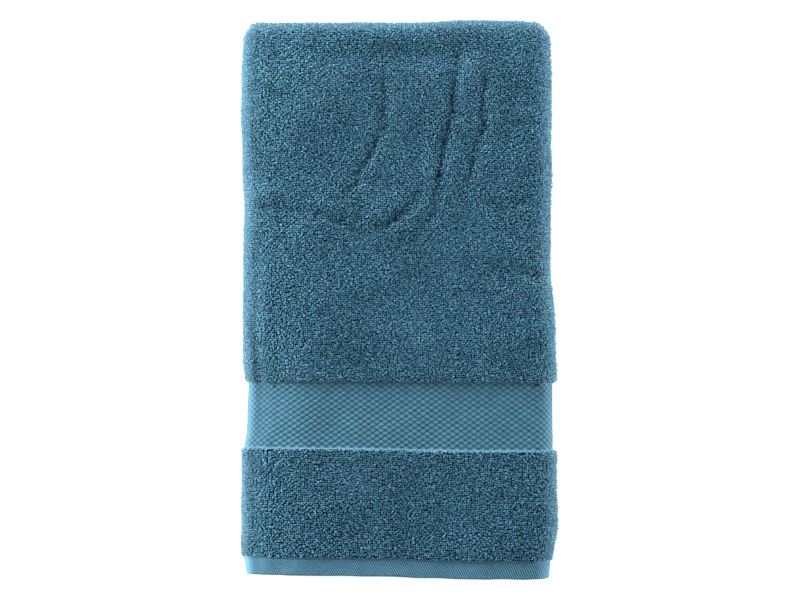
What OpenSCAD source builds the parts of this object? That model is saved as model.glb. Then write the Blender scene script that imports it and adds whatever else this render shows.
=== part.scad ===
// Folded bath towel: one length of terry cloth with woven borders and sewn hems.
//
// The cloth is first folded in three along its length, which makes a slab of three plies.
// The slab is then folded in three across its width, so that nine plies lie on each other.
// Frame: +Z up, the face with the border on top, the hem towards -Y, the origin under the middle.
// The front body (middle and right thirds) opens like a book cover about the left fold.

/* [Folded towel] */
// Width across the two side folds, in mm
folded_w = 262; // [261:1:280]
// Length from the hem's edge to the top fold, in mm
folded_l = 468; // [464:1:500]

/* [Flat towel] */
// Width of the cloth before it is folded, in mm
towel_w = 750; // [740:1:755]
// Length of the cloth before it is folded, in mm
towel_l = 1372; // [1340:1:1384]

/* [Weave sections] */
// Length of the sewn hem at each end, in mm
hem_l = 15.5; // [10:0.5:25]
// Length of the terry strip between hem and border, in mm
strip_l = 90.5; // [60:0.5:120]
// Length of the flat woven border, in mm
border_l = 59; // [30:1:90]
// Width of the turned hem along each side, in mm
side_hem_w = 9; // [6:0.5:14]

/* [Thicknesses] */
// Terry cloth with its pile on both faces, lightly pressed, in mm
terry_t = 5.2; // [4.6:0.1:5.8]
// Flat woven border, in mm
border_t = 1.8; // [1:0.1:3]
// End hem, three layers of flat weave, in mm
hem_t = 3.4; // [2:0.1:4.5]
// Side hem, two layers of flat weave, in mm
side_hem_t = 2.8; // [2:0.1:4]
// Sewing thread's height above the hem, in mm
thread_t = 0.3; // [0.2:0.05:0.5]
// Sewing thread's width, in mm
thread_w = 0.6; // [0.4:0.1:1]

/* [Hidden] */
$fn = 96;

// Clear gaps between the plies in a slab, and between the slabs in the stack.
ply_gap = 0.2;
slab_gap = 0.5;
ply_pitch = terry_t + ply_gap;
slab_t = 2 * ply_pitch + terry_t;
slab_pitch = slab_t + slab_gap;

// Heights of the middle of each slab above the ground.
back_z = slab_t / 2;
tucked_z = back_z + slab_pitch;
front_z = back_z + 2 * slab_pitch;

// The left fold goes round the right third, and the right fold lies tight.
left_fold_r = slab_pitch;
right_fold_r = slab_pitch / 2;
left_fold_x = -folded_w / 2 + left_fold_r + slab_t / 2;
right_fold_x = folded_w / 2 - right_fold_r - slab_t / 2;
left_fold_z = tucked_z;
right_fold_z = (front_z + tucked_z) / 2;
// Half of the angle that parts the two bodies at the left fold's crest.
fold_gap = 1;

// The right third's free side edge lies just inside the left fold.
edge_inset = 2.5;
right_edge_x = left_fold_x + edge_inset;
left_edge_x = left_fold_x + towel_w - PI * (left_fold_r + right_fold_r)
    - (right_fold_x - left_fold_x) - (right_fold_x - right_edge_x);

// The folds across the length: one at the top, and one behind the hem, whose edge hangs past it.
top_fold_r = ply_pitch;
bottom_fold_r = ply_pitch / 2;
hem_overhang = 5;
top_fold_y = folded_l / 2 - slab_t / 2;
hem_edge_y = -folded_l / 2;
bottom_fold_y = hem_edge_y + hem_overhang + bottom_fold_r + terry_t / 2;
tucked_edge_y = bottom_fold_y + towel_l - (top_fold_y - hem_edge_y)
    - (top_fold_y - bottom_fold_y) - PI * (top_fold_r + bottom_fold_r);

// Where the weave changes, from each end.
hem_y = hem_edge_y + hem_l;
strip_y = hem_y + strip_l;
border_y = strip_y + border_l;
tucked_hem_y = tucked_edge_y - hem_l;
tucked_strip_y = tucked_hem_y - strip_l;
tucked_border_y = tucked_strip_y - border_l;

// How far the sewing lies in from a hem's inner edge, and from a side hem's inner edge.
seam_inset = 1.6;
side_seam_inset = 2;

terry_colour = "#2f6f8a";
flat_colour = "#4f8fa8";
thread_colour = "#5b9ab2";

// ---- Outlines across the slab: x is the row frame's y, and y is the height above the slab's middle ----

// A straight ply from y0 to y1 at a height.
module ply(y0, y1, height, thick)
    translate([y0, height - thick / 2]) square([y1 - y0, thick]);

// Half of a ring that joins two plies: side is 1 for the top of the towel and -1 for its bottom.
module turn(y, height, radius, thick, side) {
    outer = radius + thick / 2;
    translate([y, height]) intersection() {
        difference() {
            circle(outer);
            circle(radius - thick / 2);
        }
        translate([side > 0 ? 0 : -outer, -outer]) square([outer, 2 * outer]);
    }
}

// The whole letter fold, from y0 on the front ply to y1 on the tucked ply.
module letter_fold(y0, y1, thick) {
    ply(y0, top_fold_y, ply_pitch, thick);
    turn(top_fold_y, 0, top_fold_r, thick, 1);
    ply(bottom_fold_y, top_fold_y, -ply_pitch, thick);
    turn(bottom_fold_y, -bottom_fold_r, bottom_fold_r, thick, -1);
    ply(bottom_fold_y, y1, 0, thick);
}

// A line of sewing on the outer face of a ply, seen end on.
module seam(y, height, hem_thick)
    translate([y - thread_w / 2, height + hem_thick / 2]) square([thread_w, thread_t]);

// A line of sewing along a side hem, on the front and back plies' outer faces and round the top fold.
module side_seam() {
    face = ply_pitch + side_hem_t / 2 + thread_t / 2;
    ply(hem_edge_y, top_fold_y, face, thread_t);
    turn(top_fold_y, 0, face, thread_t, 1);
    ply(bottom_fold_y, top_fold_y, -face, thread_t);
}

// ---- Sweeps that carry an outline along the folded width ----

// A flat panel from x0 to x1 at a height, with its face up or down.
module panel(x0, x1, height, face_up)
    translate([x0, 0, height]) rotate([90, 0, 90]) linear_extrude(x1 - x0)
        mirror([0, face_up ? 0 : 1]) children();

// A fold about an axis along Y. Angles run from -X at 180 up to +Z at 270 and on to +X at 360.
module fold(x, z, radius, from, sweep)
    translate([x, 0, z]) rotate([-90, 0, 0]) rotate([0, 0, from]) rotate_extrude(angle = sweep)
        translate([radius, 0]) mirror([1, -1]) children();

// The front body: upper half of the left fold, middle third, right fold and right third.
module front_sweep() {
    fold(left_fold_x, left_fold_z, left_fold_r, 270, fold_gap - 90) children();
    panel(left_fold_x, right_fold_x, front_z, true) children();
    fold(right_fold_x, right_fold_z, right_fold_r, 270, 180) children();
    panel(right_edge_x + side_hem_w, right_fold_x, tucked_z, false) children();
}

// The back body: lower half of the left fold, and the left third on the ground.
module back_sweep() {
    fold(left_fold_x, left_fold_z, left_fold_r, 90, 90 - fold_gap) children();
    panel(left_fold_x, left_edge_x - side_hem_w, back_z, false) children();
}

// ---- Weave sections, each as one outline ----

module terry_field() letter_fold(border_y, tucked_border_y, terry_t);
module border() ply(strip_y, border_y, ply_pitch, border_t);
module end_strip() ply(hem_y, strip_y, ply_pitch, terry_t);
module hem() ply(hem_edge_y, hem_y, ply_pitch, hem_t);
module hem_seam() seam(hem_y - seam_inset, ply_pitch, hem_t);
module tucked_border() ply(tucked_border_y, tucked_strip_y, 0, border_t);
module tucked_end_strip() ply(tucked_strip_y, tucked_hem_y, 0, terry_t);
module tucked_hem() ply(tucked_hem_y, tucked_edge_y, 0, hem_t);
module tucked_hem_seam() seam(tucked_hem_y + seam_inset, 0, hem_t);
module side_hem() letter_fold(hem_edge_y, tucked_edge_y, side_hem_t);

// ---- Nodes of the front body ----

module terry_field_front() color(terry_colour) front_sweep() terry_field();
module border_front() color(flat_colour) front_sweep() border();
module end_strip_front() color(terry_colour) front_sweep() end_strip();
module hem_front() color(flat_colour) front_sweep() hem();
module hem_stitching_front() color(thread_colour) front_sweep() hem_seam();
module tucked_border_front() color(flat_colour) front_sweep() tucked_border();
module tucked_end_strip_front() color(terry_colour) front_sweep() tucked_end_strip();
module tucked_hem_front() color(flat_colour) front_sweep() tucked_hem();
module tucked_hem_stitching_front() color(thread_colour) front_sweep() tucked_hem_seam();

module side_hem_right()
    color(flat_colour) panel(right_edge_x, right_edge_x + side_hem_w, tucked_z, false) side_hem();

module side_hem_stitching_right() {
    x = right_edge_x + side_hem_w - side_seam_inset;
    color(thread_colour) panel(x - thread_w, x, tucked_z, false) side_seam();
}

// ---- Nodes of the back body ----

module terry_field_back() color(terry_colour) back_sweep() terry_field();
module border_back() color(flat_colour) back_sweep() border();
module end_strip_back() color(terry_colour) back_sweep() end_strip();
module hem_back() color(flat_colour) back_sweep() hem();
module hem_stitching_back() color(thread_colour) back_sweep() hem_seam();
module tucked_border_back() color(flat_colour) back_sweep() tucked_border();
module tucked_end_strip_back() color(terry_colour) back_sweep() tucked_end_strip();
module tucked_hem_back() color(flat_colour) back_sweep() tucked_hem();
module tucked_hem_stitching_back() color(thread_colour) back_sweep() tucked_hem_seam();

module side_hem_left()
    color(flat_colour) panel(left_edge_x - side_hem_w, left_edge_x, back_z, false) side_hem();

module side_hem_stitching_left() {
    x = left_edge_x - side_hem_w + side_seam_inset;
    color(thread_colour) panel(x, x + thread_w, back_z, false) side_seam();
}

terry_field_front();
border_front();
end_strip_front();
hem_front();
hem_stitching_front();
tucked_border_front();
tucked_end_strip_front();
tucked_hem_front();
tucked_hem_stitching_front();
side_hem_right();
side_hem_stitching_right();
terry_field_back();
border_back();
end_strip_back();
hem_back();
hem_stitching_back();
tucked_border_back();
tucked_end_strip_back();
tucked_hem_back();
tucked_hem_stitching_back();
side_hem_left();
side_hem_stitching_left();
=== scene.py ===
# The looks of a folded bath towel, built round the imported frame.
#
# The towel is one sheet: across its width it runs round three stacked panels, and along its length it runs
# through a letter fold of three plies. Every visible piece is cut from that sheet, so a point has two cloth
# coordinates: u across the folded width, v along the length from the front hem's edge. Lengths are in mm.
import math
from collections import namedtuple

import bpy
import numpy as np
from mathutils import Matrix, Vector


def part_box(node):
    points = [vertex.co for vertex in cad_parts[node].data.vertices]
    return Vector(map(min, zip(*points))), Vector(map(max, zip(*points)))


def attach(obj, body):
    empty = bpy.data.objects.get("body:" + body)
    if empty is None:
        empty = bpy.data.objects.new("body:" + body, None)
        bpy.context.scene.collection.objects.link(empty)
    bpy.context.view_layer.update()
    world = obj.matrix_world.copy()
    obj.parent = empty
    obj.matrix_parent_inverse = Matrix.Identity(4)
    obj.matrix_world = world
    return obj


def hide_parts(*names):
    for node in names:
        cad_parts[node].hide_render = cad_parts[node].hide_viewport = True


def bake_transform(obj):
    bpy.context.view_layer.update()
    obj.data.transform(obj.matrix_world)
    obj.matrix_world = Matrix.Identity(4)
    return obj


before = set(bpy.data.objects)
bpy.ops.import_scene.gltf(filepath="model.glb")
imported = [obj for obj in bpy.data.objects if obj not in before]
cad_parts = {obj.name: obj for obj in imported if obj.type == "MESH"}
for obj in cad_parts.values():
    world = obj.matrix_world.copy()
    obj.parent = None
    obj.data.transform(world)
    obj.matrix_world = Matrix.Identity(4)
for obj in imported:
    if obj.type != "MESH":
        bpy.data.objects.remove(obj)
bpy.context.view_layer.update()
MM = 0.001

# ---- Sizes taken from the frame ----


def box_mm(node):
    low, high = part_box(node)
    return np.array(low) / MM, np.array(high) / MM


FIELD_LOW, FIELD_HIGH = box_mm("terry_field_front")
HEM_LOW, HEM_HIGH = box_mm("hem_front")
STRIP_HIGH = box_mm("end_strip_front")[1]
BORDER_HIGH = box_mm("border_front")[1]
TUCKED_BORDER_LOW, TUCKED_BORDER_HIGH = box_mm("tucked_border_front")
TUCKED_HEM_LOW, TUCKED_HEM_HIGH = box_mm("tucked_hem_front")
RIGHT_HEM_LOW, RIGHT_HEM_HIGH = box_mm("side_hem_right")
LEFT_HEM_HIGH = box_mm("side_hem_left")[1]

# The stack of three slabs, each of three plies, and how thick a pressed ply of each weave is.
HALF_W = FIELD_HIGH[0]
STACK_H = FIELD_HIGH[2]
SLAB_PITCH = FIELD_LOW[2]
SLAB_T = STACK_H - 2 * SLAB_PITCH
TERRY_T, BORDER_T, HEM_T, SIDE_HEM_T = 5.2, 1.8, 3.4, 2.8
PLY = (SLAB_T - TERRY_T) / 2

# The two folds across the width, and the middle height of each slab.
LEFT_R, RIGHT_R = SLAB_PITCH, SLAB_PITCH / 2
LEFT_X = -HALF_W + LEFT_R + SLAB_T / 2
RIGHT_X = HALF_W - RIGHT_R - SLAB_T / 2
BACK_Z = SLAB_T / 2
TUCKED_Z = BACK_Z + SLAB_PITCH
FRONT_Z = BACK_Z + 2 * SLAB_PITCH
RIGHT_FOLD_Z = (FRONT_Z + TUCKED_Z) / 2

# Where each panel starts across the folded width.
U_LEFT = LEFT_HEM_HIGH[0] - LEFT_X
U_MID = U_LEFT + math.pi * LEFT_R
U_RFOLD = U_MID + RIGHT_X - LEFT_X
U_RIGHT = U_RFOLD + math.pi * RIGHT_R
U_END = U_RIGHT + RIGHT_X - RIGHT_HEM_LOW[0]
SIDE_HEM_W = RIGHT_HEM_HIGH[0] - RIGHT_HEM_LOW[0]

# Where each ply and each weave starts along the length.
HEM_Y = HEM_LOW[1]
TOP_Y = FIELD_HIGH[1] - SLAB_T / 2
TOP_R, BOTTOM_R = PLY, PLY / 2
BOTTOM_Y = FIELD_LOW[1] + BOTTOM_R + TERRY_T / 2
V_TOP = TOP_Y - HEM_Y
V_BACK = V_TOP + math.pi * TOP_R
V_BOTTOM = V_BACK + TOP_Y - BOTTOM_Y
V_TUCKED = V_BOTTOM + math.pi * BOTTOM_R
V_HEM = HEM_HIGH[1] - HEM_Y
V_STRIP = STRIP_HIGH[1] - HEM_Y
V_BORDER = BORDER_HIGH[1] - HEM_Y
V_TUCKED_BORDER = V_TUCKED + TUCKED_BORDER_LOW[1] - BOTTOM_Y
V_TUCKED_STRIP = V_TUCKED + TUCKED_BORDER_HIGH[1] - BOTTOM_Y
V_TUCKED_HEM = V_TUCKED + TUCKED_HEM_LOW[1] - BOTTOM_Y
V_END = V_TUCKED + TUCKED_HEM_HIGH[1] - BOTTOM_Y

# ---- Repeatable noise over the cloth ----


def ease(t):
    t = np.clip(t, 0.0, 1.0)
    return t * t * (3 - 2 * t)


def lattice(i, j, seed):
    """A number from 0 to 1 for each pair of whole numbers."""
    n = (i.astype(np.int64) * 374761393 + j.astype(np.int64) * 668265263 + seed * 974634777) & 0xFFFFFFFF
    n = ((n ^ (n >> 13)) * 1274126177) & 0xFFFFFFFF
    n = ((n ^ (n >> 16)) * 2246822519) & 0xFFFFFFFF
    return ((n ^ (n >> 15)) & 0xFFFFFF) / float(0xFFFFFF)


def drift(x, y, seed):
    """Smooth noise from -1 to 1 with features about one unit wide."""
    i, j = np.floor(x), np.floor(y)
    fx, fy = ease(x - i), ease(y - j)
    i, j = i.astype(np.int64), j.astype(np.int64)
    near = lattice(i, j, seed) * (1 - fx) + lattice(i + 1, j, seed) * fx
    far = lattice(i, j + 1, seed) * (1 - fx) + lattice(i + 1, j + 1, seed) * fx
    return 2 * (near * (1 - fy) + far * fy) - 1


def layered(x, y, seed, octaves):
    """Smooth noise with finer noise on it, half as wide and half as strong each time."""
    total, size = 0.0, 1.0
    for k in range(octaves):
        total = total + size * drift(x / size, y / size, seed + k)
        size *= 0.5
    return total / (2 - 2 ** (1 - octaves))


# A terry loop is an oval: half its length and width as shares of the grid it stands on, how far it strays
# from its place there, and how tall the lowest one is.
LOOP_LONG, LOOP_SHORT, LOOP_STRAY, LOWEST_LOOP = 0.62, 0.44, 0.62, 0.72


def crowns(u, v, pitch_u, pitch_v, seed):
    """Terry loops, from 0 in the gaps to 1 on a tall loop's back, and each one's own shade from -1 to 1."""
    i0, j0 = np.floor(u / pitch_u).astype(np.int64), np.floor(v / pitch_v).astype(np.int64)
    low_i, low_j = i0.min() - 1, j0.min() - 1
    i, j = np.meshgrid(np.arange(low_i, i0.max() + 2), np.arange(low_j, j0.max() + 2), indexing="ij")
    loop_u = (i + 0.5 + LOOP_STRAY * (lattice(i, j, seed) - 0.5)) * pitch_u
    loop_v = (j + 0.5 + LOOP_STRAY * (lattice(i, j, seed + 1) - 0.5)) * pitch_v
    turn = math.pi * lattice(i, j, seed + 2)
    cos, sin = np.cos(turn), np.sin(turn)
    tall = LOWEST_LOOP + (1 - LOWEST_LOOP) * lattice(i, j, seed + 3)
    own = 2 * lattice(i, j, seed + 4) - 1
    best, shade = np.zeros(u.shape), np.zeros(u.shape)
    long, short = LOOP_LONG * pitch_v, LOOP_SHORT * pitch_u
    for di in (-1, 0, 1):
        for dj in (-1, 0, 1):
            cell = (i0 + di - low_i, j0 + dj - low_j)
            du, dv = u - loop_u[cell], v - loop_v[cell]
            lengthwise = du * cos[cell] + dv * sin[cell]
            crosswise = dv * cos[cell] - du * sin[cell]
            here = tall[cell] * (1 - (lengthwise / long) ** 2 - (crosswise / short) ** 2)
            shade = np.where(here > best, own[cell], shade)
            best = np.maximum(best, here)
    return best, shade


# ---- The folded sheet ----


def across(u):
    """Slab middle (x, z) and its outward normal (x, z) at u, and how near the left fold's crest it is."""
    u = np.asarray(u, float)
    left = (u - U_LEFT) / LEFT_R
    right = (u - U_RFOLD) / RIGHT_R
    on_left, on_right = (u > U_LEFT) & (u < U_MID), (u > U_RFOLD) & (u < U_RIGHT)
    x = np.where(u <= U_LEFT, LEFT_X + U_LEFT - u, LEFT_X + u - U_MID)
    x = np.where(u >= U_RIGHT, RIGHT_X - (u - U_RIGHT), x)
    x = np.where(on_left, LEFT_X - LEFT_R * np.sin(left), x)
    x = np.where(on_right, RIGHT_X + RIGHT_R * np.sin(right), x)
    z = np.where(u <= U_LEFT, BACK_Z, np.where(u >= U_RIGHT, TUCKED_Z, FRONT_Z))
    z = np.where(on_left, TUCKED_Z - LEFT_R * np.cos(left), z)
    z = np.where(on_right, RIGHT_FOLD_Z + RIGHT_R * np.cos(right), z)
    nx = np.where(on_left, -np.sin(left), np.where(on_right, np.sin(right), 0.0))
    nz = np.where((u <= U_LEFT) | (u >= U_RIGHT), -1.0, 1.0)
    nz = np.where(on_left, -np.cos(left), np.where(on_right, np.cos(right), nz))
    crest = np.where(on_left, np.sin(left) ** 2, 0.0)
    return x, z, nx, nz, crest


def along(v):
    """Row y and slab height at v, with the outer face's normal (y, height)."""
    v = np.asarray(v, float)
    top, bottom = (v - V_TOP) / TOP_R, (v - V_BOTTOM) / BOTTOM_R
    on_top, on_bottom = (v > V_TOP) & (v < V_BACK), (v > V_BOTTOM) & (v < V_TUCKED)
    y = np.where(v >= V_TUCKED, BOTTOM_Y + v - V_TUCKED, TOP_Y - (v - V_BACK))
    y = np.where(v <= V_TOP, HEM_Y + v, y)
    y = np.where(on_top, TOP_Y + TOP_R * np.sin(top), y)
    y = np.where(on_bottom, BOTTOM_Y - BOTTOM_R * np.sin(bottom), y)
    h = np.where(v <= V_TOP, PLY, np.where(v >= V_TUCKED, 0.0, -PLY))
    h = np.where(on_top, TOP_R * np.cos(top), h)
    h = np.where(on_bottom, -BOTTOM_R - BOTTOM_R * np.cos(bottom), h)
    my = np.where(on_top, np.sin(top), np.where(on_bottom, -np.sin(bottom), 0.0))
    mh = np.where((v <= V_TOP) | (v >= V_TUCKED), 1.0, -1.0)
    mh = np.where(on_top, np.cos(top), np.where(on_bottom, -np.cos(bottom), mh))
    return y, h, my, mh


# The plies are pressed together by this share at the crest of the left fold.
CREST_SQUEEZE = 0.35
# The flat weaves have no pile, so they lie below the terry on the outer ply, and get there over this length.
BORDER_SINK, HEM_SINK, SINK_RAMP = 2.0, 0.9, 2.0


def sunk(v):
    border = ease((v - V_STRIP) / SINK_RAMP) * ease((V_BORDER - v) / SINK_RAMP)
    hem = ease((V_HEM - v) / SINK_RAMP) * (v < V_HEM)
    return BORDER_SINK * border + HEM_SINK * hem


def place(u, v, d):
    """Points at cloth coordinates u, v, and d out from the middle of the ply, before the drape."""
    x, z, nx, nz, crest = across(u)
    y, h, my, mh = along(v)
    height = h + mh * d - sunk(np.asarray(v, float))
    outer = SLAB_T / 2
    height = outer - (outer - height) * (1 - CREST_SQUEEZE * crest)
    return np.stack([x + height * nx, y + my * d, z + height * nz], -1)


def cloth_u(u):
    """Distance across the outer face, which is longer than the slab's middle round the two folds."""
    left = np.clip(u - U_LEFT, 0, U_MID - U_LEFT) * SLAB_T / 2 / LEFT_R
    right = np.clip(u - U_RFOLD, 0, U_RIGHT - U_RFOLD) * SLAB_T / 2 / RIGHT_R
    return u + left + right


def cloth_v(v):
    """Distance along the outer face, which is longer than the ply's middle round the top fold."""
    return v + np.clip(v - V_TOP, 0, V_BACK - V_TOP) * TERRY_T / 2 / TOP_R


# ---- How the folded towel lies: gentle creases, uneven edges, soft corners ----

# Each crease runs through (x, y) points on the front; then its depth, its width, and the ridge beside it.
CREASES = [
    ([(-13, 199), (-13, 170), (-12, 145), (-22, 125), (-37, 97), (-51, 78)], 2.1, 3.0, 1.0),
    ([(51, 224), (50, 199), (46, 174), (46, 153), (39, 130), (35, 111), (31, 87), (27, 70), (16, 55)],
     2.6, 3.2, 1.4),
    ([(73, 199), (72, 161), (71, 142), (63, 114), (58, 85)], 2.4, 3.0, 1.1),
    ([(21, 94), (12, 82), (-1, 69), (-13, 61), (-28, 56)], 2.3, 3.0, 1.4),
    ([(-134, 76), (-103, 77), (-84, 73), (-62, 69), (-45, 62), (-25, 54)], 2.3, 3.5, 1.4),
    ([(-114, 69), (-82, 61), (-49, 53)], 1.2, 3.4, 0.6),
    ([(92, 148), (109, 148), (128, 145)], 1.6, 2.2, 0.8),
    ([(67, 82), (88, 76), (109, 80), (128, 77)], 1.5, 3.0, 0.9),
    ([(100, 25), (115, 19), (129, 22)], 1.6, 2.6, 0.8),
    ([(104, -14), (116, -16), (129, -13)], 1.3, 2.4, 0.7),
]
# A crease fades out over these shares of its length, at its start and its end, down to its faintest.
CREASE_IN, CREASE_OUT, FAINTEST = 0.25, 0.3, 0.10
# Soft swellings and hollows: centre, half-widths, height.
SWELLS = [
    (-9, 77, 17, 12, 2.6),
    (-114, 89, 24, 8, 1.7),
    (-109, 30, 18, 36, 1.1),
    (61, 194, 8, 18, 1.9),
    (84, 22, 42, 12, -1.5),
    (0, 205, 105, 9, -1.9),
    (0, 222, 130, 8, 1.3),
    (-57, 149, 42, 38, 1.3),
    (100, 178, 20, 24, 1.0),
    (11, 126, 12, 20, -1.3),
    (5, 165, 18, 22, 0.8),
    (-82, 0, 34, 22, 0.8),
    (20, -35, 60, 14, 0.7),
]


def near_path(x, y, points):
    """Distance from a path, positive on its left going along, and the share of it that lies behind."""
    best = np.full(x.shape, np.inf)
    side = np.zeros(x.shape)
    at = np.zeros(x.shape)
    run = 0.0
    for (ax, ay), (bx, by) in zip(points, points[1:]):
        part = math.dist((ax, ay), (bx, by))
        tx, ty = (bx - ax) / part, (by - ay) / part
        s = np.clip((x - ax) * tx + (y - ay) * ty, 0, part)
        dx, dy = x - ax - s * tx, y - ay - s * ty
        far = np.hypot(dx, dy)
        near = far < best
        best = np.where(near, far, best)
        side = np.where(near, np.sign(tx * dy - ty * dx), side)
        at = np.where(near, run + s, at)
        run += part
    return best * side, at / run


def wandering(a, x, y, seed):
    """One coordinate with coarse and fine noise, so that a crease isn't a drawn line."""
    return a + 2.2 * layered(x / 12, y / 12, seed, 3) + 1.3 * drift(x / 2.8, y / 2.8, seed + 2)


def creased(x, y):
    """How creases and swellings raise the face, and how much painted shade darkens the pile's tone along the
    creases.
    """
    height, painted_shade = np.zeros(x.shape), np.zeros(x.shape)
    wx, wy = wandering(x, x, y, 101), wandering(y, x, y, 105)
    uneven = 0.80 + 0.55 * layered(x / 13, y / 13, 109, 2)
    broken = np.clip(0.45 + 1.9 * drift(x / 3.4, y / 3.4, 111), 0, 1)
    for points, depth, width, ridge in CREASES:
        signed, at = near_path(wx, wy, points)
        far = np.abs(signed)
        fade = FAINTEST + (1 - FAINTEST) * ease(at / CREASE_IN) * ease((1 - at) / CREASE_OUT)
        fade = fade * uneven
        line = (0.03 + 0.42 * broken) * np.exp(-far / (0.60 * width))
        valley = 0.55 * np.exp(-(far / (1.7 * width)) ** 2) + line
        left_side = np.where(signed > 0, 1.0, 0.6)
        ridges = left_side * np.exp(-((far - 3.0 * width) / (2.0 * width)) ** 2)
        height += fade * (ridge * ridges - depth * valley) * ease((60 - far) / 40)
        # painted shade along the crease's line, broken as the line is
        painted_shade += fade * broken * depth * np.exp(-(far / (0.5 * width)) ** 2)
    for cx, cy, wide, deep, tall in SWELLS:
        height += tall * np.exp(-((x - cx) / wide) ** 2 - ((y - cy) / deep) ** 2)
    return height, painted_shade


def creased_where(mask, x, y):
    """The same, worked out only where the mask is true."""
    height, painted_shade = np.zeros(x.shape), np.zeros(x.shape)
    if mask.any():
        height[mask], painted_shade[mask] = creased(x[mask], y[mask])
    return height, painted_shade


def smooth_through(t, points):
    """Eases from one (position, value) pair to the next."""
    t = np.asarray(t, float)
    out = np.full(t.shape, float(points[0][1]))
    for (a, va), (b, vb) in zip(points, points[1:]):
        out = out + (vb - va) * ease((t - a) / (b - a))
    return out


# How far the outline lies out from the frame's, along each edge.
LEFT_EDGE = [(-234, -2.0), (-212, 0.6), (-150, 0.8), (-126, 0.2), (-110, -1.4), (-72, -2.4), (-50, -0.4),
             (30, -1.0), (62, -1.4), (95, -0.8), (150, 0.8), (200, 0.6), (222, -0.8), (234, -3.0)]
RIGHT_EDGE = [(-234, -4.0), (-218, -2.6), (-190, 1.6), (-135, 0.8), (-60, 1.0), (-20, -0.6), (30, -4.8),
              (95, -3.6), (200, -3.6), (220, -4.4), (234, -6.4)]
TOP_EDGE = [(-131, -6.0), (-118, -3.4), (0, -3.9), (60, -1.8), (104, -2.0), (118, -3.2), (131, -6.5)]
# How far the lower edge lies in from the frame's.
BOTTOM_EDGE = [(-131, 4.6), (-90, 4.0), (-20, 3.8), (30, 1.8), (60, 1.0), (120, 0.8), (131, 1.4)]
# The top and lower edges move all that lies beyond these rows, more and more up to the top, and over this
# length at the bottom.
TOP_FROM, BOTTOM_FROM, BOTTOM_OVER = 60, -20, 170
# The top face slopes down towards the top fold: where it starts, where it ends, how far.
TOP_SLOPE = (200, 230, 3.4)
# It sags beside the left fold: how far the sag reaches inwards and outwards, and along the length where it
# is lowest and how deep it is.
SAG_REACH = (26.0, 13.0)
SAG_AT = [(25, -119), (65, -112)]
SAG_DEPTH = [(-150, 3.6), (-115, 5.7), (25, 5.4), (65, 3.8)]
# Over this width at the side folds, the top face's unevenness falls off to this share.
RIM_W, RIM_SHARE = 14.0, 0.35


def drape(p):
    """Lays the folded towel down: moves points in mm smoothly, so that plies never cross."""
    x, y, z = p[..., 0], p[..., 1], p[..., 2]
    up = ease((z - (FRONT_Z - SLAB_T / 2 + 0.4)) / (SLAB_T - 1.0))
    dz = 1.2 * layered(x / 58, y / 58, 11, 2) + 0.5 * layered(x / 19, y / 22, 17, 2)
    dz = dz + creased_where(up > 0, x, y)[0]
    start, end, fall = TOP_SLOPE
    dz = dz - fall * np.clip((y - start) / (end - start), 0, 1.05) ** 2
    lowest = smooth_through(y, SAG_AT)
    reach = np.where(x > lowest, *SAG_REACH)
    dz = dz - smooth_through(y, SAG_DEPTH) * np.exp(-((x - lowest) / reach) ** 2)
    inside = ease((HALF_W - np.abs(x)) / RIM_W)
    new_z = z + up * dz * (RIM_SHARE + (1 - RIM_SHARE) * inside)
    left, right = ease(-x / HALF_W), ease(x / HALF_W)
    new_x = x - left * smooth_through(y, LEFT_EDGE) + right * smooth_through(y, RIGHT_EDGE)
    new_x = new_x + 0.9 * (right - left) * layered(y / 26, z / 14 + 40, 29, 2)
    top, bottom = ease((y - TOP_FROM) / (TOP_Y - TOP_FROM)), ease((BOTTOM_FROM - y) / BOTTOM_OVER)
    new_y = y + top * smooth_through(x, TOP_EDGE) + bottom * smooth_through(x, BOTTOM_EDGE)
    new_y = new_y + 0.7 * (top - bottom) * layered(x / 30, z / 15, 37, 2)
    new_y = new_y + 0.5 * layered(x / 55, y / 55, 41, 1) * ease((TOP_Y - np.abs(y)) / 40)
    return np.stack([new_x, new_y, new_z], -1)


# ---- Relief of each weave, out from the ply's face: returns (height, tone) ----

# The grid that the loops stand on, the height of a loop, the level of a loop's back that lies on the face,
# how far each band's edges round off, and how much larger and darker the end strips' pile is.
LOOP_GRID_U, LOOP_GRID_V, LOOP_H, FACE_LEVEL, PILE_EDGE_R = 1.60, 1.72, 1.9, 0.75, 2.0
COARSE, COARSE_DARK = 1.06, 0.025
# The border's lozenges: their two diagonals and their depth.
LOZENGE_W, LOZENGE_L, LOZENGE_H = 6.97, 4.92, 1.0
# The hem's twill: the spacing of its ribs across and along, their depth, the hollow along the seam, and how
# far the seam lies from the hem's inner edge.
TWILL_U, TWILL_V, TWILL_H, SEAM_HOLLOW, SEAM_INSET = 2.05, 3.4, 0.45, 0.5, 1.6
# The side hems' ribs: their spacing and depth.
RIB_PITCH, RIB_H = 1.7, 0.18
PLAIN_TONE = 0.45


def round_edge(v, v0, v1, radius):
    """How far the face drops towards the section's two ends."""
    near = np.minimum(v - v0, v1 - v)
    t = np.clip(1 - near / radius, 0, 1)
    return radius * (1 - np.sqrt(np.maximum(0, 1 - t * t)))


def terry(u, v, v0, v1, big=1.0):
    bu, bv = u + 0.4 * drift(u / 5, v / 5, 51), v + 0.4 * drift(u / 5, v / 5, 53)
    loop, shade = crowns(bu, bv, LOOP_GRID_U * big, LOOP_GRID_V * big, 61)
    tuft = layered(u / (3.4 * big), v / (3.0 * big), 71, 2)
    height = LOOP_H * (loop - FACE_LEVEL) + 0.30 * big * (tuft - 0.3)
    edge = round_edge(v, v0 - 0.8 - 0.6 * tuft, v1 + 0.8 + 0.6 * tuft, PILE_EDGE_R)
    # The tone follows the loops' height: painted shade in the gaps between them and painted light on their
    # backs; the tufts and each loop's own shade vary it at random.
    tone = np.clip(0.04 + 0.95 * loop + 0.06 * tuft + 0.10 * shade, 0, 1)
    return height - edge, tone


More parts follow.
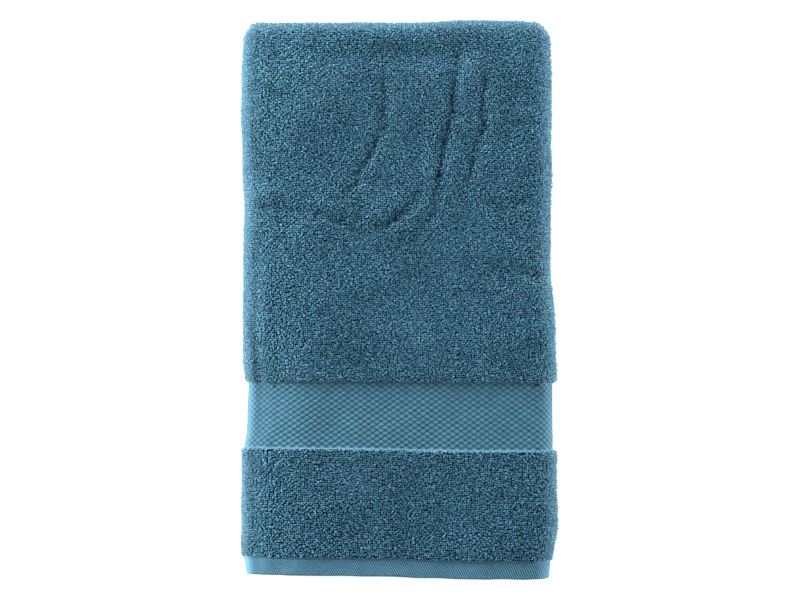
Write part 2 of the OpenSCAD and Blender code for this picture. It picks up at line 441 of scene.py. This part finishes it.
def coarse_terry(u, v, v0, v1):
    height, tone = terry(u, v, v0, v1, COARSE)
    return height, np.clip(tone - COARSE_DARK, 0, 1)


def lozenges(u, v, v0, v1):
    a, b = u / LOZENGE_W + v / LOZENGE_L, u / LOZENGE_W - v / LOZENGE_L
    fa, fb = np.abs(2 * (a - np.floor(a)) - 1), np.abs(2 * (b - np.floor(b)) - 1)
    pad = np.sqrt(np.maximum((1 - fa ** 4) * (1 - fb ** 4), 0))
    shade = lattice(np.floor(a), np.floor(b), 87) - 0.5
    yarns = 0.1 * drift(u / 0.9, v / 0.7, 83)
    # The tone follows the pads' height: painted shade in the grooves between the lozenges, and a random
    # shade for each lozenge.
    return LOZENGE_H * (pad - 1.0) + yarns, np.clip(pad + 0.08 * shade, 0, 1)


def twill(u, v, v0, v1):
    rib = 0.5 + 0.5 * np.cos(2 * math.pi * (u / TWILL_U + v / TWILL_V))
    seam = v1 - SEAM_INSET if v1 < V_TOP else v0 + SEAM_INSET
    sewn = SEAM_HOLLOW * np.exp(-((v - seam) / 0.7) ** 2)
    # The tone follows the ribs' height: painted shade in the grooves between them.
    return TWILL_H * (rib - 1) - sewn + 0.12 * drift(u / 1.3, v / 1.3, 91), rib


def plain(u, v, v0, v1):
    rib = 0.5 + 0.5 * np.cos(2 * math.pi * v / RIB_PITCH)
    # The tone follows the ribs' height: painted shade in the grooves between them.
    return RIB_H * (rib - 1), rib


def no_relief(u, v, v0, v1):
    return np.zeros(u.shape), np.full(u.shape, PLAIN_TONE)


# ---- Meshes ----

rng = np.random.default_rng(20)

# Painted shade in the creases of the top face: how much darker the pile's tone is there.
CREASE_PAINTED_SHADE = 0.13
# Painted light on the top face, lighter towards the bulky left fold: where that starts and ends, how much.
PAINTED_LIGHT_FROM, PAINTED_LIGHT_FULL_AT, PAINTED_LIGHT_LEFT = -60, -105, 0.05
# At both ends of a terry band the loops' rows stray outwards this far, more or less by the spread, and pull
# the rows within reach along.
ROW_STRAY, ROW_SPREAD, ROW_REACH = 0.5, 0.9, 3
# The thinnest that a hem's free edge gets, as a share of its thickness, squared.
THINNEST = 0.04


def spaced(a, b, step, extra=()):
    n = max(2, int(round((b - a) / step)) + 1)
    return np.unique(np.concatenate([np.linspace(a, b, n), np.asarray(extra, float)]))


def rim_of(nu, nv):
    """Grid indices round the rim, one list for each side, anticlockwise."""
    grid = np.arange(nu * nv).reshape(nu, nv)
    return [grid[:, 0], grid[-1, :], grid[::-1, -1], grid[0, ::-1]]


def zip_sides(a_sides, b_sides):
    """Triangles that close the gap between two rims whose corners match."""
    made = []
    for a, b in zip(a_sides, b_sides):
        i = j = 0
        while i < len(a) - 1 or j < len(b) - 1:
            step_a = (i + 1) / (len(a) - 1) if i < len(a) - 1 else 2.0
            step_b = (j + 1) / (len(b) - 1) if j < len(b) - 1 else 2.0
            if step_a <= step_b:
                made.append((a[i + 1], a[i], b[j]))
                i += 1
            else:
                made.append((b[j], b[j + 1], a[i]))
                j += 1
    return made


def half_thickness(v, v0, v1, weave):
    """Half the ply's thickness, rounded off towards a hem's free edge, which is the towel's end."""
    half = weave.thick / 2
    if not weave.free_edge:
        return half
    near = v - v0 if v0 == 0 else v1 - v
    t = np.clip(1 - near / half, 0, 1)
    return half * np.sqrt(np.maximum(THINNEST, 1 - t * t))


def strayed(uu, vv, vs, v0, v1):
    """Rows of loops that wander at the ends of a terry band."""
    stray = ROW_STRAY + ROW_SPREAD * layered(cloth_u(uu) / 1.7, v0 + 0 * uu, 113, 2)
    at_start = (vs[0] == v0) * stray * ease((v0 + ROW_REACH - vv) / ROW_REACH)
    at_end = (vs[-1] == v1) * stray * ease((vv + ROW_REACH - v1) / ROW_REACH)
    return vv - at_start + at_end


def lit_by_place(tone, points):
    """The tone, with painted shade in the creases of the top face and painted light over the left fold."""
    on_top = ease((points[..., 2] - FRONT_Z) / PLY)
    painted_shade = creased_where(on_top > 0, points[..., 0], points[..., 1])[1]
    # painted light, growing towards the left fold
    painted_light_share = ease((PAINTED_LIGHT_FROM - points[..., 0]) / (PAINTED_LIGHT_FROM - PAINTED_LIGHT_FULL_AT))
    return np.clip(tone + on_top * (PAINTED_LIGHT_LEFT * painted_light_share - CREASE_PAINTED_SHADE * painted_shade), 0, 1)


def slab_block(us, vs, v0, v1, weave, seen, back_steps, jitter):
    """A closed block of the section from v0 to v1: its outer face in relief if seen, its inner one plain."""
    relief = weave.relief if seen else no_relief
    uu, vv = np.meshgrid(us, vs, indexing="ij")
    if jitter:
        shift = rng.uniform(-jitter, jitter, (2,) + uu.shape)
        shift[:, [0, -1], :] = 0
        shift[:, :, [0, -1]] = 0
        uu, vv = uu + shift[0], vv + shift[1]
    high, tone = relief(cloth_u(uu), cloth_v(vv), v0, v1)
    if seen and weave.pile:
        vv = strayed(uu, vv, vs, v0, v1)
    front = place(uu, vv, half_thickness(vv, v0, v1, weave) + high)
    if seen:
        tone = lit_by_place(tone, front)
    ub = spaced(us[0], us[-1], back_steps[0])
    vb = spaced(vs[0], vs[-1], back_steps[1])
    bu, bv = np.meshgrid(ub, vb, indexing="ij")
    back = place(bu, bv, -half_thickness(bv, v0, v1, weave))
    nu, nv, mu, mv = len(us), len(vs), len(ub), len(vb)
    a = np.arange(nu * nv).reshape(nu, nv)
    b = nu * nv + np.arange(mu * mv).reshape(mu, mv)
    quads_a = np.stack([a[:-1, :-1], a[1:, :-1], a[1:, 1:], a[:-1, 1:]], -1).reshape(-1, 4)
    quads_b = np.stack([b[:-1, :-1], b[:-1, 1:], b[1:, 1:], b[1:, :-1]], -1).reshape(-1, 4)
    rim_a = rim_of(nu, nv)
    rim_b = [side + nu * nv for side in rim_of(mu, mv)]
    tris = np.array(zip_sides(rim_a, rim_b), np.int64)
    points = np.concatenate([front.reshape(-1, 3), back.reshape(-1, 3)])
    cloth = np.concatenate([
        np.stack([cloth_u(uu), cloth_v(vv)], -1).reshape(-1, 2),
        np.stack([cloth_u(bu), cloth_v(bv)], -1).reshape(-1, 2)])
    tones = np.concatenate([tone.ravel(), np.full(mu * mv, PLAIN_TONE)])
    edges = np.concatenate([np.stack([s[:-1], s[1:]], -1) for s in rim_a + rim_b])
    return points, np.concatenate([quads_a, quads_b]), tris, cloth, tones, edges


def joined(blocks):
    base, out = 0, [[] for _ in range(6)]
    for points, quads, tris, cloth, tones, edges in blocks:
        for store, part in zip(out, (points, quads + base, tris + base, cloth, tones, edges + base)):
            store.append(part)
        base += len(points)
    return [np.concatenate(part) for part in out]


def make_object(name, blocks, material):
    """A mesh object of draped blocks, with its cloth coordinates, its pile tone, which holds painted shade
    and light, and sharp block rims.
    """
    points, quads, tris, cloth, tones, edges = joined(blocks)
    points = drape(points) * MM
    mesh = bpy.data.meshes.new(name)
    mesh.vertices.add(len(points))
    mesh.vertices.foreach_set("co", points.astype(np.float32).ravel())
    corners = np.concatenate([quads.ravel(), tris.ravel()]).astype(np.int32)
    mesh.loops.add(len(corners))
    mesh.loops.foreach_set("vertex_index", corners)
    starts = np.concatenate([np.arange(len(quads)) * 4, len(quads) * 4 + np.arange(len(tris)) * 3])
    mesh.polygons.add(len(starts))
    mesh.polygons.foreach_set("loop_start", starts.astype(np.int32))
    mesh.update(calc_edges=True)
    mesh.polygons.foreach_set("use_smooth", np.ones(len(starts), bool))
    found = np.zeros(len(mesh.edges) * 2, np.int32)
    mesh.edges.foreach_get("vertices", found)
    found = np.sort(found.reshape(-1, 2).astype(np.int64), axis=1)
    rim = np.sort(edges.astype(np.int64), axis=1)
    many = len(points)
    sharp = np.isin(found[:, 0] * many + found[:, 1], rim[:, 0] * many + rim[:, 1])
    mesh.attributes.new("sharp_edge", "BOOLEAN", "EDGE").data.foreach_set("value", sharp)
    uv = mesh.uv_layers.new(name="cloth")
    uv.data.foreach_set("uv", (cloth[corners] * MM).astype(np.float32).ravel())
    mesh.attributes.new("pile", "FLOAT", "POINT").data.foreach_set("value", tones.astype(np.float32))
    mesh.materials.append(material)
    obj = bpy.data.objects.new(name, mesh)
    bpy.context.scene.collection.objects.link(obj)
    return obj


# ---- Materials ----

# The dye is a little greener in some places and a little more violet in others, over patches this wide.
TINTS, TINT_MM = [(0.30, (0.94, 1.02, 0.99)), (0.70, (1.05, 0.98, 1.01))], 16.0
SHEEN_ROUGH = 0.50


class Tree:
    """A material's nodes, with short ways to add the ones used here."""

    def __init__(self, name, rough, sheen, sheen_tint, specular):
        self.material = bpy.data.materials.new(name)
        self.material.use_nodes = True
        self.tree = self.material.node_tree
        self.shader = self.tree.nodes["Principled BSDF"]
        self.shader.inputs["Roughness"].default_value = rough
        self.shader.inputs["Specular IOR Level"].default_value = specular
        self.shader.inputs["Sheen Weight"].default_value = sheen
        self.shader.inputs["Sheen Roughness"].default_value = SHEEN_ROUGH
        self.shader.inputs["Sheen Tint"].default_value = (*sheen_tint, 1)
        self.cloth = self.add("ShaderNodeUVMap", uv_map="cloth").outputs["UV"]
        # The pile tone from the mesh, which holds painted shade and painted light.
        self.pile = self.add("ShaderNodeAttribute", attribute_name="pile").outputs["Fac"]

    def add(self, kind, **settings):
        node = self.tree.nodes.new(kind)
        for key, value in settings.items():
            setattr(node, key, value)
        return node

    def link(self, a, b):
        self.tree.links.new(a, b)

    def math(self, operation, a, b=0.0, c=0.0):
        node = self.add("ShaderNodeMath", operation=operation)
        for socket, value in zip(node.inputs, (a, b, c)):
            if isinstance(value, (int, float)):
                socket.default_value = value
            else:
                self.link(value, socket)
        return node.outputs[0]

    def noise(self, size_mm, detail=2.0, stretch=(1, 1)):
        """Noise over the cloth with features of about that size, from 0 to 1."""
        stretched = self.add("ShaderNodeVectorMath", operation="MULTIPLY")
        self.link(self.cloth, stretched.inputs[0])
        stretched.inputs[1].default_value = (stretch[0], stretch[1], 1)
        node = self.add("ShaderNodeTexNoise", noise_dimensions="2D")
        node.inputs["Scale"].default_value = 1 / (size_mm * MM)
        node.inputs["Detail"].default_value = detail
        self.link(stretched.outputs[0], node.inputs["Vector"])
        return node.outputs["Fac"]

    def stripes(self, across_u, across_v, period_mm):
        """A sine from 0 to 1 along a direction of the cloth."""
        dot = self.add("ShaderNodeVectorMath", operation="DOT_PRODUCT")
        self.link(self.cloth, dot.inputs[0])
        k = 2 * math.pi / (period_mm * MM)
        dot.inputs[1].default_value = (across_u * k, across_v * k, 0)
        return self.math("MULTIPLY_ADD", self.math("SINE", dot.outputs["Value"]), 0.5, 0.5)

    def mix_sum(self, base, *terms):
        """base plus each (weight, socket, middle) term's weight times its distance from the middle."""
        total = base
        for weight, socket, middle in terms:
            total = self.math("ADD", self.math("MULTIPLY_ADD", socket, weight, -weight * middle), total)
        return total

    def ramp(self, fac, stops, interpolation="LINEAR"):
        node = self.add("ShaderNodeValToRGB")
        node.color_ramp.interpolation = interpolation
        while len(node.color_ramp.elements) < len(stops):
            node.color_ramp.elements.new(0.5)
        for element, (at, rgb) in zip(node.color_ramp.elements, stops):
            element.position = at
            element.color = (*rgb, 1)
        self.link(fac, node.inputs["Fac"])
        return node.outputs["Color"]

    def colour(self, tone, stops):
        both = self.add("ShaderNodeVectorMath", operation="MULTIPLY")
        self.link(self.ramp(tone, stops, "EASE"), both.inputs[0])
        self.link(self.ramp(self.noise(TINT_MM, 3.0), TINTS), both.inputs[1])
        self.link(both.outputs[0], self.shader.inputs["Base Color"])

    def bump(self, height, distance_mm):
        node = self.add("ShaderNodeBump")
        node.inputs["Distance"].default_value = distance_mm * MM
        self.link(height, node.inputs["Height"])
        self.link(node.outputs["Normal"], self.shader.inputs["Normal"])


def terry_material(name, stops):
    t = Tree(name, 0.95, 0.52, (0.88, 0.94, 0.97), 0.05)
    fibre = t.noise(0.40)
    loop = t.noise(0.95)
    tuft = t.noise(5.0, 3.0)
    broad = t.noise(45.0)
    tone = t.mix_sum(0.445, (1.0, t.pile, 0.45), (1.02, fibre, 0.5), (0.76, loop, 0.5),
                     (0.16, tuft, 0.5), (0.20, broad, 0.5))
    t.colour(tone, stops)
    t.bump(t.math("ADD", t.math("MULTIPLY", fibre, 0.5), loop), 0.5)
    return t.material


def flat_tree(name):
    """The smoother yarn of the border and the hems."""
    return Tree(name, 0.80, 0.44, (0.95, 0.95, 0.94), 0.12)


def border_material(name, stops):
    t = flat_tree(name)
    weft = t.stripes(0, 1, 0.62)
    warp = t.stripes(1, 0, 0.58)
    slub = t.noise(1.4, 3.0, (0.25, 1.0))
    broad = t.noise(30.0)
    thread = t.math("MULTIPLY", weft, warp)
    tone = t.mix_sum(0.45, (0.80, t.pile, 0.6), (0.16, weft, 0.5), (0.22, slub, 0.5), (0.10, broad, 0.5))
    t.colour(tone, stops)
    t.bump(t.math("ADD", thread, t.math("MULTIPLY", slub, 0.6)), 0.14)
    return t.material


def hem_material(name, stops, rib_weight):
    t = flat_tree(name)
    ribs = t.stripes(1 / TWILL_U, 1 / TWILL_V, 1.0)
    yarn = t.stripes(0, 1, 0.5)
    slub = t.noise(1.1, 3.0)
    broad = t.noise(26.0)
    tone = t.mix_sum(0.45, (1.0, t.pile, 0.5), (rib_weight, ribs, 0.5), (0.10, yarn, 0.5),
                     (0.45, slub, 0.5), (0.20, broad, 0.5))
    t.colour(tone, stops)
    t.bump(t.math("ADD", yarn, slub), 0.10)
    return t.material


def thread_material(name, stops):
    t = Tree(name, 0.6, 0.15, (0.70, 0.85, 0.95), 0.4)
    twist = t.stripes(0.7, 0.7, 0.35)
    t.colour(t.mix_sum(0.5, (0.35, twist, 0.5), (0.3, t.noise(0.4), 0.5)), stops)
    t.bump(twist, 0.05)
    return t.material


# Each weave's colours, from the painted shade in the depths between its yarns to the painted light on their
# backs.
TERRY_STOPS = [(0.0, (0.001, 0.010, 0.025)), (0.40, (0.019, 0.117, 0.202)), (0.72, (0.070, 0.284, 0.440)),
               (1.0, (0.22, 0.47, 0.62))]
FLAT_STOPS = [(0.0, (0.002, 0.027, 0.052)), (0.5, (0.031, 0.135, 0.218)), (1.0, (0.092, 0.282, 0.408))]
HEM_STOPS = [(0.0, (0.004, 0.042, 0.080)), (0.5, (0.060, 0.232, 0.362)), (1.0, (0.17, 0.41, 0.57))]
# The stray fibres' colours are lighter and greyer than the pile's: painted light where they catch the lamps
# along the outline.
FIBRE_STOPS = [(0.0, (0.05, 0.13, 0.18)), (1.0, (0.24, 0.36, 0.43))]

terry_cloth = terry_material("terry_pile", TERRY_STOPS)
border_cloth = border_material("border_weave", FLAT_STOPS)
hem_cloth = hem_material("end_hem", HEM_STOPS, 0.15)
side_cloth = hem_material("side_hem", HEM_STOPS, 0.0)
thread = thread_material("thread", HEM_STOPS)
stray_fibre = thread_material("stray_fibre", FIBRE_STOPS)

# ---- The sheet, cut into sections and panels ----

# spacing scales the mesh's steps. pile marks terry, and free_edge a hem, which ends the towel.
Weave = namedtuple("Weave", "thick relief material slot spacing pile free_edge")
FIELD = Weave(TERRY_T, terry, terry_cloth, "terry_pile", 1.0, True, False)
STRIP = Weave(TERRY_T, coarse_terry, terry_cloth, "terry_pile", 1.0, True, False)
BORDER = Weave(BORDER_T, lozenges, border_cloth, "border_weave", 1.0, False, False)
END_HEM = Weave(HEM_T, twill, hem_cloth, "end_hem", 0.8, False, True)
SIDE_HEM = Weave(SIDE_HEM_T, plain, side_cloth, "side_hem", 0.9, False, False)

# Name, start and end along the length, and weave.
SECTIONS = [
    ("end_strip", V_HEM, V_STRIP, STRIP),
    ("border", V_STRIP, V_BORDER, BORDER),
    ("hem", 0.0, V_HEM, END_HEM),
    ("terry_field", V_BORDER, V_TUCKED_BORDER, FIELD),
    ("tucked_border", V_TUCKED_BORDER, V_TUCKED_STRIP, BORDER),
    ("tucked_end_strip", V_TUCKED_STRIP, V_TUCKED_HEM, STRIP),
    ("tucked_hem", V_TUCKED_HEM, V_END, END_HEM),
]
# Panels across the width, with where they start and end: those that wrap round the left fold, and the rest.
WRAP = [("left", SIDE_HEM_W, U_LEFT), ("left_fold", U_LEFT, U_MID), ("middle", U_MID, U_RFOLD)]
RIGHT = [("right_fold", U_RFOLD, U_RIGHT), ("right", U_RIGHT, U_END - SIDE_HEM_W)]
# Plies along the length.
PLIES = [("outer", 0.0, V_TOP), ("top", V_TOP, V_BACK), ("back", V_BACK, V_BOTTOM),
         ("bottom", V_BOTTOM, V_TUCKED), ("tucked", V_TUCKED, V_END)]

# Grid spacing in each panel: across and along where the outer face shows, and across where it doesn't. A
# fold's outer face is longer than the slab's middle, so its spacing is finer.
Steps = namedtuple("Steps", "across along hidden")
STEPS = {
    "left": Steps(1.6, 1.6, 8.0),
    "left_fold": Steps(0.36, 0.52, 2.0),
    "middle": Steps(0.48, 0.48, 8.0),
    "right_fold": Steps(0.29, 0.52, 1.3),
    "right": Steps(0.85, 0.85, 8.0),
    "side": Steps(0.9, 0.42, 8.0),
}
# Spacing along the length: of a hidden face, and of the outer and inner faces round the letter fold's bends.
HIDDEN_ALONG, TURN_OUTER, TURN_INNER = 8.0, 0.55, 1.0
# What only shows when the left fold is opened: the left panel's back ply, and a strip of the middle one's.
OPENED_STEP, OPENED_W = 0.9, 14.0
# The grid's points are moved at random by up to this share of its spacing, so that no grid lines show.
JITTER = 0.22
# Rows that round off a free edge, from this angle to a right angle.
EDGE_ROWS, EDGE_FROM = 6, 0.15


def shows(panel, ply):
    return ply in ("outer", "top", "bottom") or (ply == "back" and panel in ("left", "left_fold", "side"))


def outer_steps(panel, ply, seen, spacing):
    """Steps of the outer face's grid, across and along."""
    steps = STEPS[panel]
    if not seen:
        return steps.hidden, HIDDEN_ALONG
    if ply == "back" and panel in ("left", "middle"):
        return OPENED_STEP, OPENED_STEP
    return steps.across * spacing, TURN_OUTER if ply in ("top", "bottom") else steps.along * spacing


def free_edge_rows(a, b, v0, weave):
    """Extra rows where a hem's free edge rounds off."""
    if not weave.free_edge:
        return ()
    grow = weave.thick / 2 * (1 - np.cos(np.linspace(EDGE_FROM, math.pi / 2, EDGE_ROWS)))
    return a + grow if v0 == 0 else b - grow


def section_blocks(panels, v0, v1, weave):
    """One block for each stretch of the section from v0 to v1 that lies in one panel and one ply."""
    blocks = []
    for panel, start, end in panels:
        for ply, p0, p1 in PLIES:
            a, b = max(v0, p0), min(v1, p1)
            if b - a < 0.01:
                continue
            if panel == "middle" and ply == "back":
                spans = [(start, start + OPENED_W, True), (start + OPENED_W, end, False)]
            else:
                spans = [(start, end, shows(panel, ply))]
            inner_steps = (STEPS[panel].hidden, TURN_INNER if ply in ("top", "bottom") else HIDDEN_ALONG)
            for u0, u1, seen in spans:
                step_u, step_v = outer_steps(panel, ply, seen, weave.spacing)
                us = spaced(u0, u1, step_u)
                vs = spaced(a, b, step_v, free_edge_rows(a, b, v0, weave))
                jitter = JITTER * min(step_u, step_v) if seen and weave.pile else 0.0
                blocks.append(slab_block(us, vs, v0, v1, weave, seen, inner_steps, jitter))
    return blocks


# ---- Stitches and stray fibres ----

# A stitch: half its length, half its width and height, how far it is lifted and sunk into the cloth, and
# how many stations and sides it has.
STITCH_HALF, STITCH_WIDE, STITCH_HIGH, STITCH_LIFT, STITCH_SUNK = 1.15, 0.30, 0.24, 0.05, 0.5
STITCH_STATIONS, STITCH_SIDES = 7, 6
# From one stitch to the next, and the share of it round a fold, where the outer face is longer.
STITCH, FOLD_SHARE = 3.0, 0.7
# The side seams lie this far from the side hems' inner edges.
SIDE_SEAM = 2.3
# Stray fibres: how many, their radius, and from and to how far they reach and how high they rise; then how
# deep in the pile they start.
FIBRES_PER_MM2, FIBRE_R, FIBRE_REACH, FIBRE_RISE, FIBRE_SUNK = 0.42, 0.08, (0.5, 2.2), (0.8, 2.8), 0.5
FIBRE_STATIONS, FIBRE_SIDES = 4, 3
NO_EDGES = np.zeros((0, 2), int)


def tube_quads(stations, sides):
    """Outward faces of one tube whose points run round each station in turn."""
    grid = np.arange(stations * sides).reshape(stations, sides)
    turned = np.roll(grid, -1, axis=1)
    return np.stack([grid[:-1], turned[:-1], turned[1:], grid[1:]], -1).reshape(-1, 4)


def tube_caps(stations, sides):
    """The tube's two ends, closed with triangles."""
    last = (stations - 1) * sides
    start = [(0, k + 1, k) for k in range(1, sides - 1)]
    return np.array(start + [(last, last + k, last + k + 1) for k in range(1, sides - 1)])


def stitch_block(line):
    """Small raised stitches; line gives each one's cloth position, its direction and the face's height."""
    stations = np.linspace(-1, 1, STITCH_STATIONS)[:, None]
    ring = np.linspace(0, 2 * math.pi, STITCH_SIDES + 1)[None, :-1]
    r = np.sqrt(np.maximum(0.02, 1 - stations ** 4))
    s = stations * STITCH_HALF
    side, out = STITCH_WIDE * r * np.cos(ring), STITCH_HIGH * r * np.sin(ring)
    one, caps = tube_quads(STITCH_STATIONS, STITCH_SIDES), tube_caps(STITCH_STATIONS, STITCH_SIDES)
    points, quads, tris, cloth, base = [], [], [], [], 0
    for u, v, du, dv, face in line:
        uu = u + s * du - side * dv
        vv = v + s * dv + side * du
        points.append(place(uu, vv, face + STITCH_LIFT + out).reshape(-1, 3))
        cloth.append(np.stack([cloth_u(uu), cloth_v(vv)], -1).reshape(-1, 2))
        quads.append(one + base)
        tris.append(caps + base)
        base += STITCH_STATIONS * STITCH_SIDES
    tones = np.full(base, 0.6)
    return (np.concatenate(points), np.concatenate(quads), np.concatenate(tris), np.concatenate(cloth),
            tones, NO_EDGES)


def fibre_block(areas):
    """Small arches of fibre. Each area is its u and v ranges, and whether it gathers mid-u and mid-v."""
    spots = []
    for u0, u1, v0, v1, gathers in areas:
        share = rng.uniform(0, 1, (2, int(FIBRES_PER_MM2 * (u1 - u0) * (v1 - v0)), 2))
        middle = (share[0] + share[1]) / 2
        share = np.where(np.array(gathers), middle, share[0])
        spots.append(np.array([u0, v0]) + share * np.array([u1 - u0, v1 - v0]))
    u, v = np.concatenate(spots).T[:, :, None, None]
    many, size = len(u), FIBRE_STATIONS * FIBRE_SIDES
    turn = rng.uniform(0, 2 * math.pi, u.shape)
    reach, rise = rng.uniform(*FIBRE_REACH, u.shape), rng.uniform(*FIBRE_RISE, u.shape)
    station = np.linspace(0, 1, FIBRE_STATIONS)[None, :, None]
    ring = (2 * math.pi / FIBRE_SIDES * np.arange(FIBRE_SIDES))[None, None, :]
    side = FIBRE_R * np.cos(ring)
    uu = u + reach * (station - 0.5) * np.cos(turn) - side * np.sin(turn)
    vv = v + reach * (station - 0.5) * np.sin(turn) + side * np.cos(turn)
    out = TERRY_T / 2 - FIBRE_SUNK + rise * 4 * station * (1 - station) + FIBRE_R * np.sin(ring)
    base = size * np.arange(many)[:, None, None]
    quads = (tube_quads(FIBRE_STATIONS, FIBRE_SIDES)[None] + base).reshape(-1, 4)
    tris = (tube_caps(FIBRE_STATIONS, FIBRE_SIDES)[None] + base).reshape(-1, 3)
    points = place(uu, vv, out).reshape(-1, 3)
    cloth = np.stack([cloth_u(uu), cloth_v(vv)], -1).reshape(-1, 2)
    tones = np.repeat(rng.uniform(0.2, 0.9, many), size)
    return points, quads, tris, cloth, tones, NO_EDGES


# ---- Pieces ----

FRONT_BODY, BACK_BODY = "middle_and_right_thirds", "left_third"


def add_piece(name, blocks, material, nodes, body=None):
    """A piece that stands for the nodes, and rides on the body or, without one, has its place baked into its
    points.
    """
    obj = make_object(name, blocks, material)
    if body:
        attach(obj, body)
    else:
        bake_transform(obj)
    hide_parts(*nodes)


def add_section(name, v0, v1, weave):
    wrap, right = section_blocks(WRAP, v0, v1, weave), section_blocks(RIGHT, v0, v1, weave)
    add_piece(name, wrap, weave.material, [name + "_back", name + "_front"])
    add_piece(name + "_right", right, weave.material, [name + "_front"], FRONT_BODY)


def add_hem_stitching(name, v, suffix, u0, u1, body):
    line, u = [], u0 + STITCH / 2
    while u < u1 - STITCH / 2:
        line.append((u, v, 1.0, 0.0, HEM_T / 2 - STITCH_SUNK))
        at_fold = U_LEFT < u < U_MID or U_RFOLD < u < U_RIGHT
        u += STITCH * (FOLD_SHARE if at_fold else 1.0)
    nodes = [name + "_front"] + ([name + "_back"] if body is None else [])
    add_piece(name + suffix, [stitch_block(line)], thread, nodes, body)


# The fibres stand along the left, right and top folds, between these angles round each, where they soften
# the outline.
LOW, HIGH = math.radians(10), math.radians(170)
TERRY_ROWS = [(V_HEM + 1, V_STRIP - 1), (V_BORDER + 1, V_TOP)]
TOP_ROWS = (V_TOP + TOP_R * LOW, V_TOP + TOP_R * HIGH)


def add_fibres(suffix, fold, radius, top_from, top_to, body):
    areas = [(fold + radius * LOW, fold + radius * HIGH, v0, v1, (True, False)) for v0, v1 in TERRY_ROWS]
    areas.append((top_from, top_to, *TOP_ROWS, (False, True)))
    blocks = [fibre_block(areas)]
    add_piece("stray_fibres" + suffix, blocks, stray_fibre, ["terry_field_front"], body)


def add_side_hem(side, u0, u1, seam, body):
    blocks = section_blocks([("side", u0, u1)], 0.0, V_END, SIDE_HEM)
    add_piece(side + "_side_hem", blocks, side_cloth, ["side_hem_" + side], body)
    line = [(seam, v, 0.0, 1.0, SIDE_HEM_T / 2) for v in np.arange(STITCH, V_BOTTOM - STITCH, STITCH)]
    nodes = ["side_hem_stitching_" + side]
    add_piece(side + "_side_stitching", [stitch_block(line)], thread, nodes, body)


for section in SECTIONS:
    add_section(*section)
for name, v in (("hem_stitching", V_HEM - SEAM_INSET), ("tucked_hem_stitching", V_TUCKED_HEM + SEAM_INSET)):
    add_hem_stitching(name, v, "", SIDE_HEM_W, U_RFOLD, None)
    add_hem_stitching(name, v, "_right", U_RFOLD, U_END - SIDE_HEM_W, FRONT_BODY)
add_fibres("", U_LEFT, LEFT_R, U_LEFT, U_RFOLD, None)
add_fibres("_right", U_RFOLD, RIGHT_R, U_RFOLD, U_RIGHT, FRONT_BODY)
add_side_hem("left", 0.0, SIDE_HEM_W, SIDE_HEM_W - SIDE_SEAM, BACK_BODY)
add_side_hem("right", U_END - SIDE_HEM_W, U_END, U_END - SIDE_HEM_W + SIDE_SEAM, FRONT_BODY)

# ---- Floor, light and camera: lengths in metres ----

scene = bpy.context.scene
# The floor lies just under the towel, and gives off enough light to be white round it.
FLOOR_HALF, FLOOR_Z, FLOOR_GREY, FLOOR_ROUGH, FLOOR_GLOW = 4, -0.0006, 0.93, 0.9, 0.8
# The world's colour, and its strength as light on the object and as what the camera sees.
SKY, SKY_LIGHT, SKY_SEEN = (0.94, 1, 1.07, 1), 0.26, 1.0
LAMP_COLOUR = (1.0, 0.955, 0.90)
# Name, place, power in watts and diameter.
LAMPS = [
    ("left", (-1.65, 0.25, 0.32), 84, 0.7),
    ("behind", (0.1, 1.8, 0.32), 62, 0.8),
    ("right", (1.7, 0.1, 0.28), 55, 0.7),
]
# The camera looks straight down from this place, and its frame is this wide at the middle of the stack.
CAMERA_AT, FRAME_W, SENSOR = (0.0008, -0.0008, 4.0), 0.6686, 36.0


def add_floor():
    paper = bpy.data.materials.new("paper")
    paper.use_nodes = True
    shader = paper.node_tree.nodes["Principled BSDF"]
    shader.inputs["Base Color"].default_value = (FLOOR_GREY, FLOOR_GREY, FLOOR_GREY, 1)
    shader.inputs["Roughness"].default_value = FLOOR_ROUGH
    shader.inputs["Emission Color"].default_value = (1, 1, 1, 1)
    shader.inputs["Emission Strength"].default_value = FLOOR_GLOW
    mesh = bpy.data.meshes.new("floor")
    corners = [(x * FLOOR_HALF, y * FLOOR_HALF, FLOOR_Z) for x, y in ((-1, -1), (1, -1), (1, 1), (-1, 1))]
    mesh.from_pydata(corners, [], [(0, 1, 2, 3)])
    mesh.materials.append(paper)
    floor = bpy.data.objects.new("floor", mesh)
    scene.collection.objects.link(floor)


def add_world():
    world = bpy.data.worlds.new("studio")
    world.use_nodes = True
    sky = world.node_tree.nodes["Background"]
    sky.inputs["Color"].default_value = SKY
    ray = world.node_tree.nodes.new("ShaderNodeLightPath")
    level = world.node_tree.nodes.new("ShaderNodeMapRange")
    level.inputs["To Min"].default_value = SKY_LIGHT
    level.inputs["To Max"].default_value = SKY_SEEN
    world.node_tree.links.new(ray.outputs["Is Camera Ray"], level.inputs["Value"])
    world.node_tree.links.new(level.outputs["Result"], sky.inputs["Strength"])
    scene.world = world


def add_lamp(name, at, power, size):
    """A round lamp that faces the object."""
    data = bpy.data.lights.new(name, "AREA")
    data.color = LAMP_COLOUR
    data.shape, data.size, data.energy = "DISK", size, power
    obj = bpy.data.objects.new(name, data)
    scene.collection.objects.link(obj)
    obj.location = at
    obj.rotation_mode = "QUATERNION"
    obj.rotation_quaternion = obj.location.normalized().to_track_quat("Z", "Y")


def add_camera():
    data = bpy.data.cameras.new("camera")
    data.sensor_width = SENSOR
    data.lens = SENSOR * (CAMERA_AT[2] - TUCKED_Z * MM) / FRAME_W
    camera = bpy.data.objects.new("camera", data)
    camera.location = CAMERA_AT
    scene.collection.objects.link(camera)
    scene.camera = camera


add_floor()
add_world()
for lamp in LAMPS:
    add_lamp(*lamp)
add_camera()
scene.view_settings.view_transform = "Standard"
